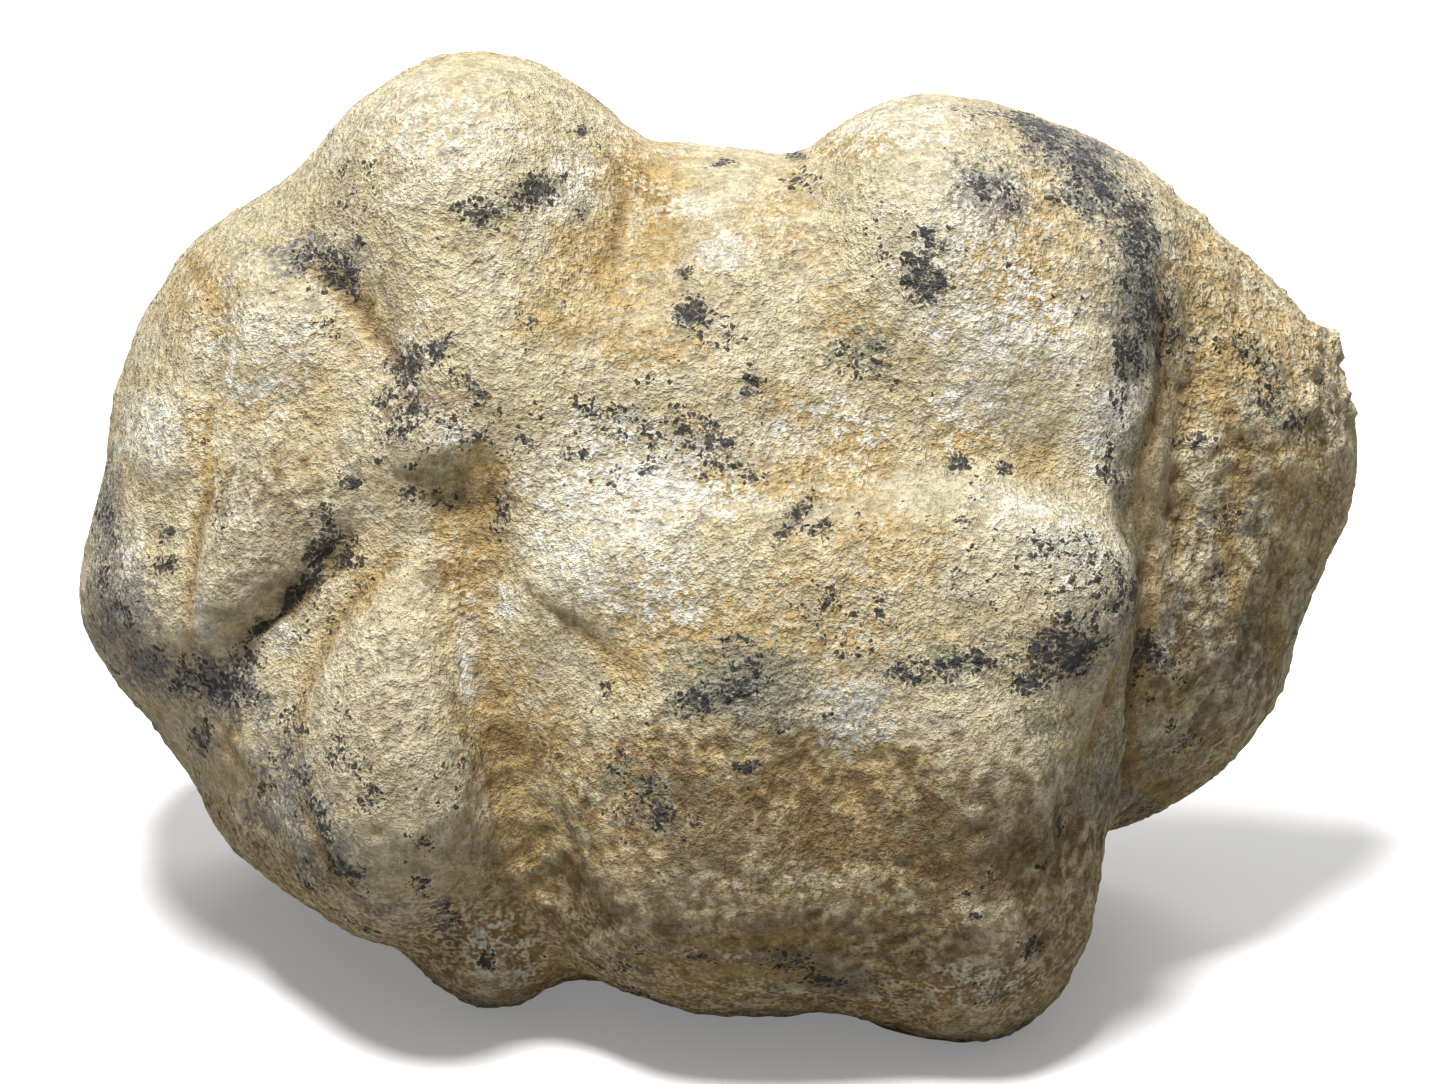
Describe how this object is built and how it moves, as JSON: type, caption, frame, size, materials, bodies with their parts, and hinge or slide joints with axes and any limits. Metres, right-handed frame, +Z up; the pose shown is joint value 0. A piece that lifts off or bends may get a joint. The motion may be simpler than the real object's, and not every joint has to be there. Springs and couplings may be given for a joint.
{
  "type": "half geode",
  "caption": "Half of a lumpy, chalk-skinned stone nodule, broken open at the back, with a hollow lined by quartz points.",
  "frame": {"origin": "on the ground under the middle of the stone's box", "axes": "+Z up from the small flat that it rests on, +X along its width, -Y towards the lumpy side, +Y towards the broken open side"},
  "size_m": [0.191, 0.112, 0.1333],
  "materials": {
    "chalky_rind": "chalky, sandy and matt, with dark specks and rusty stains",
    "quartz": "milky to clear, flat shiny faces"
  },
  "bodies": {
    "root": {"rind": "chalky_rind", "crystal_crust": "quartz"}
  },
  "joints": []
}
